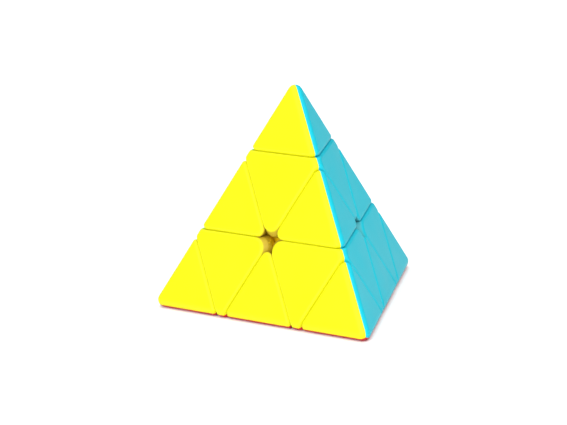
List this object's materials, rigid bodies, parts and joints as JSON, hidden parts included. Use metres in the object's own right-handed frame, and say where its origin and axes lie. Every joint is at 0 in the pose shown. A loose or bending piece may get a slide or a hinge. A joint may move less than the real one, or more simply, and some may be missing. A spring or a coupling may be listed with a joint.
{
  "type": "pyramid twisty puzzle",
  "caption": "Triangular pyramid twist puzzle with coloured shell pieces, turning corner layers and free-spinning tips around a sprung inner core.",
  "frame": {"origin": "centre of the core, where the four turning axes meet; also the centre of the whole pyramid", "axes": "+Z to the top corner, +X from the left corner to the right corner, +Y away from the front (yellow) face towards the back corner; the bottom (red) face lies across -Z"},
  "size_m": [0.098, 0.086, 0.081],
  "materials": {
    "yellow_shell": "moulded in yellow, fine satin grain",
    "blue_shell": "moulded in sky blue, fine satin grain",
    "green_shell": "moulded in green, fine satin grain",
    "red_shell": "moulded in red, fine satin grain",
    "inner_plastic": "moulded off-white, slightly waxy",
    "hardware": "plain zinc-plated steel",
    "spring_wire": "drawn spring wire"
  },
  "bodies": {
    "core": {"core": "inner_plastic", "tension_screws": "hardware", "tension_springs": "spring_wire", "spring_washers": "hardware"},
    "axial_top": {"axial_top_base": "inner_plastic", "axial_top_yellow": "yellow_shell", "axial_top_blue": "blue_shell", "axial_top_green": "green_shell"},
    "axial_left": {"axial_left_base": "inner_plastic", "axial_left_yellow": "yellow_shell", "axial_left_green": "green_shell", "axial_left_red": "red_shell"},
    "axial_right": {"axial_right_base": "inner_plastic", "axial_right_yellow": "yellow_shell", "axial_right_blue": "blue_shell", "axial_right_red": "red_shell"},
    "axial_back": {"axial_back_base": "inner_plastic", "axial_back_blue": "blue_shell", "axial_back_green": "green_shell", "axial_back_red": "red_shell"},
    "tip_top": {"tip_top_base": "inner_plastic", "tip_top_yellow": "yellow_shell", "tip_top_blue": "blue_shell", "tip_top_green": "green_shell"},
    "tip_left": {"tip_left_base": "inner_plastic", "tip_left_yellow": "yellow_shell", "tip_left_green": "green_shell", "tip_left_red": "red_shell"},
    "tip_right": {"tip_right_base": "inner_plastic", "tip_right_yellow": "yellow_shell", "tip_right_blue": "blue_shell", "tip_right_red": "red_shell"},
    "tip_back": {"tip_back_base": "inner_plastic", "tip_back_blue": "blue_shell", "tip_back_green": "green_shell", "tip_back_red": "red_shell"},
    "edge_top_left": {"edge_top_left_base": "inner_plastic", "edge_top_left_yellow": "yellow_shell", "edge_top_left_green": "green_shell"},
    "edge_top_right": {"edge_top_right_base": "inner_plastic", "edge_top_right_yellow": "yellow_shell", "edge_top_right_blue": "blue_shell"},
    "edge_top_back": {"edge_top_back_base": "inner_plastic", "edge_top_back_blue": "blue_shell", "edge_top_back_green": "green_shell"},
    "edge_left_right": {"edge_left_right_base": "inner_plastic", "edge_left_right_yellow": "yellow_shell", "edge_left_right_red": "red_shell"},
    "edge_left_back": {"edge_left_back_base": "inner_plastic", "edge_left_back_green": "green_shell", "edge_left_back_red": "red_shell"},
    "edge_right_back": {"edge_right_back_base": "inner_plastic", "edge_right_back_blue": "blue_shell", "edge_right_back_red": "red_shell"}
  },
  "joints": [
    {"name": "top_layer_turn", "type": "hinge", "parent": "core", "child": "axial_top", "pos_m": [0, 0, 0], "axis": [0, 0, 1], "range_deg": [-240, 120]},
    {"name": "left_layer_turn", "type": "hinge", "parent": "core", "child": "axial_left", "pos_m": [0, 0, 0], "axis": [-0.8165, -0.4714, -0.3333], "range_deg": [-240, 120]},
    {"name": "right_layer_turn", "type": "hinge", "parent": "core", "child": "axial_right", "pos_m": [0, 0, 0], "axis": [0.8165, -0.4714, -0.3333], "range_deg": [-240, 120]},
    {"name": "back_layer_turn", "type": "hinge", "parent": "core", "child": "axial_back", "pos_m": [0, 0, 0], "axis": [0, 0.9428, -0.3333], "range_deg": [-240, 120]},
    {"name": "top_tip_turn", "type": "hinge", "parent": "axial_top", "child": "tip_top", "pos_m": [0, 0, 0], "axis": [0, 0, 1], "continuous": true},
    {"name": "left_tip_turn", "type": "hinge", "parent": "axial_left", "child": "tip_left", "pos_m": [0, 0, 0], "axis": [-0.8165, -0.4714, -0.3333], "continuous": true},
    {"name": "right_tip_turn", "type": "hinge", "parent": "axial_right", "child": "tip_right", "pos_m": [0, 0, 0], "axis": [0.8165, -0.4714, -0.3333], "continuous": true},
    {"name": "back_tip_turn", "type": "hinge", "parent": "axial_back", "child": "tip_back", "pos_m": [0, 0, 0], "axis": [0, 0.9428, -0.3333], "continuous": true},
    {"name": "edge_top_left_turn", "type": "hinge", "parent": "axial_top", "child": "edge_top_left", "pos_m": [0, 0, 0], "axis": [-0.8165, -0.4714, -0.3333], "range_deg": [-240, 120]},
    {"name": "edge_top_right_turn", "type": "hinge", "parent": "axial_top", "child": "edge_top_right", "pos_m": [0, 0, 0], "axis": [0.8165, -0.4714, -0.3333], "range_deg": [-240, 120]},
    {"name": "edge_top_back_turn", "type": "hinge", "parent": "axial_top", "child": "edge_top_back", "pos_m": [0, 0, 0], "axis": [0, 0.9428, -0.3333], "range_deg": [-240, 120]},
    {"name": "edge_left_right_turn", "type": "hinge", "parent": "axial_left", "child": "edge_left_right", "pos_m": [0, 0, 0], "axis": [0.8165, -0.4714, -0.3333], "range_deg": [-240, 120]},
    {"name": "edge_left_back_turn", "type": "hinge", "parent": "axial_back", "child": "edge_left_back", "pos_m": [0, 0, 0], "axis": [-0.8165, -0.4714, -0.3333], "range_deg": [-240, 120]},
    {"name": "edge_right_back_turn", "type": "hinge", "parent": "axial_right", "child": "edge_right_back", "pos_m": [0, 0, 0], "axis": [0, 0.9428, -0.3333], "range_deg": [-240, 120]}
  ],
  "couplings": [
    {"joint": "edge_top_left_turn", "follows": "left_layer_turn", "ratio": 1},
    {"joint": "edge_top_right_turn", "follows": "right_layer_turn", "ratio": 1},
    {"joint": "edge_top_back_turn", "follows": "back_layer_turn", "ratio": 1},
    {"joint": "edge_left_right_turn", "follows": "right_layer_turn", "ratio": 1},
    {"joint": "edge_left_back_turn", "follows": "left_layer_turn", "ratio": 1},
    {"joint": "edge_right_back_turn", "follows": "back_layer_turn", "ratio": 1}
  ]
}
